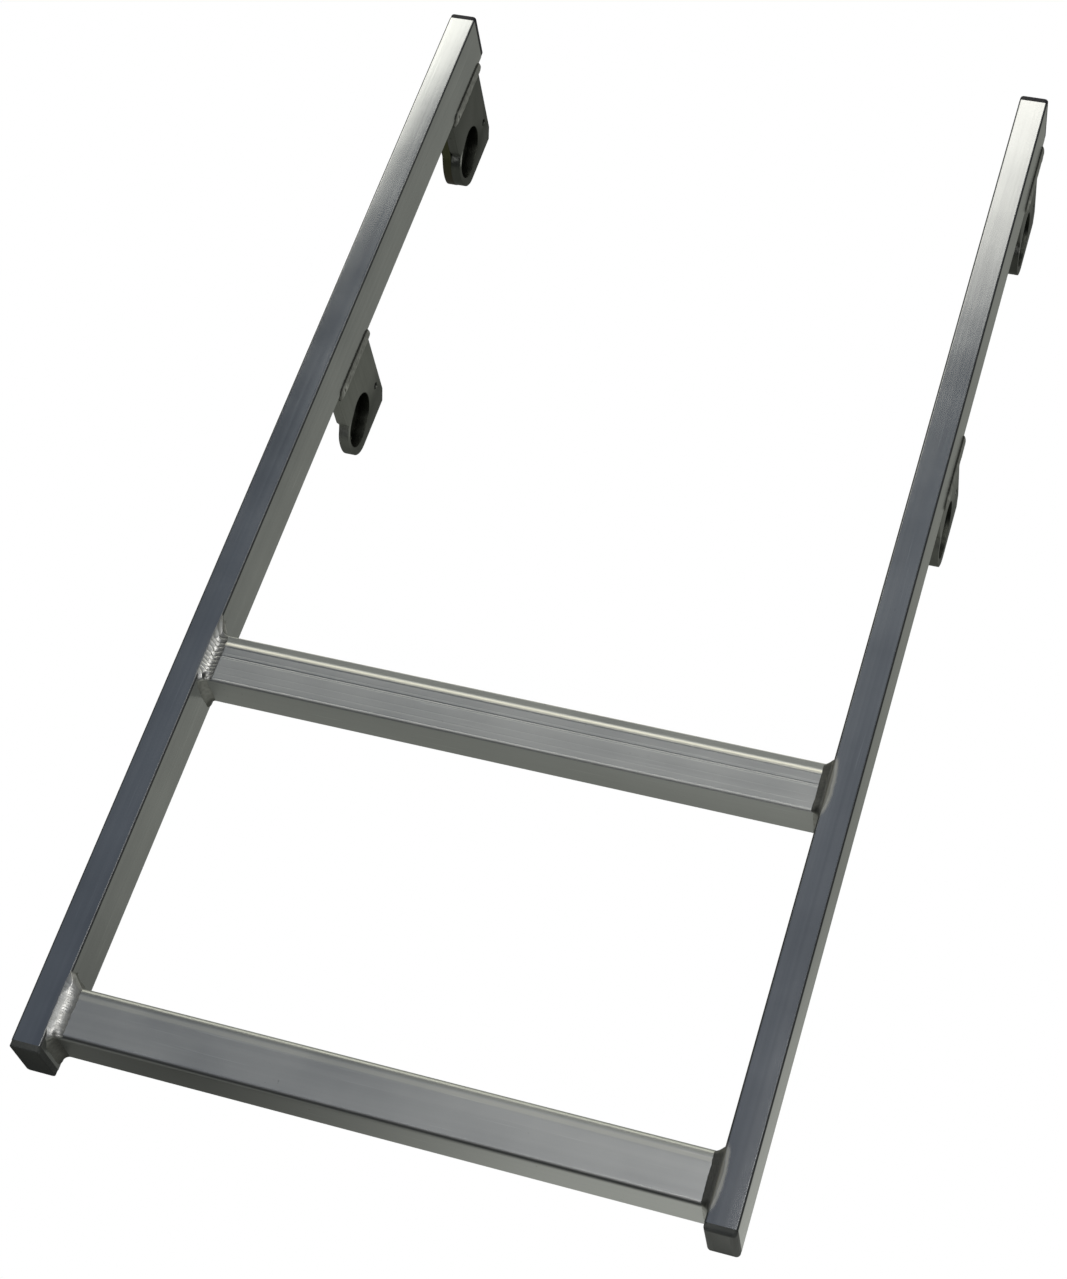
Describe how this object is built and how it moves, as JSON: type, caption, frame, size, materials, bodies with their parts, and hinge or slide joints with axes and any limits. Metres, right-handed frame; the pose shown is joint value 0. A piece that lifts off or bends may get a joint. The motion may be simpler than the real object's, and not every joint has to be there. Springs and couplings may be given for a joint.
{
  "type": "boat boarding ladder",
  "caption": "Welded aluminium boarding ladder for a boat: rectangular tube rails, flat tube rungs and slotted hook plates beneath the rails.",
  "frame": {"origin": "middle of the ladder's footprint, level with the lowest edge of the hook plates", "axes": "+X across the ladder, +Y along the rails towards the top end, +Z out of the treads towards the climber"},
  "size_m": [0.5821, 1.094, 0.154],
  "materials": {
    "rail_aluminium": "mill finish, drawn lengthwise",
    "tread_aluminium": "mill finish, extruded",
    "weld_aluminium": "as-welded ripples",
    "plate_aluminium": "dull, cut plate",
    "plated_steel": "dull olive plating",
    "black_plastic": "moulded, satin"
  },
  "bodies": {
    "root": {"backing_left_lower": "plate_aluminium", "backing_left_upper": "plated_steel", "backing_right_lower": "plate_aluminium", "backing_right_upper": "plated_steel", "backing_weld_left_lower": "weld_aluminium", "backing_weld_left_upper": "weld_aluminium", "backing_weld_right_lower": "weld_aluminium", "backing_weld_right_upper": "weld_aluminium", "bracket_weld_left_lower": "weld_aluminium", "bracket_weld_left_upper": "weld_aluminium", "bracket_weld_right_lower": "weld_aluminium", "bracket_weld_right_upper": "weld_aluminium", "cap_left_bottom": "black_plastic", "cap_left_top": "black_plastic", "cap_right_bottom": "black_plastic", "cap_right_top": "black_plastic", "hook_plate_left_lower": "plate_aluminium", "hook_plate_left_upper": "plate_aluminium", "hook_plate_right_lower": "plate_aluminium", "hook_plate_right_upper": "plate_aluminium", "rail_left": "rail_aluminium", "rail_right": "rail_aluminium", "rung_bottom": "tread_aluminium", "rung_middle": "tread_aluminium", "rung_weld_bottom_left": "weld_aluminium", "rung_weld_bottom_right": "weld_aluminium", "rung_weld_middle_left": "weld_aluminium", "rung_weld_middle_right": "weld_aluminium"}
  },
  "joints": []
}
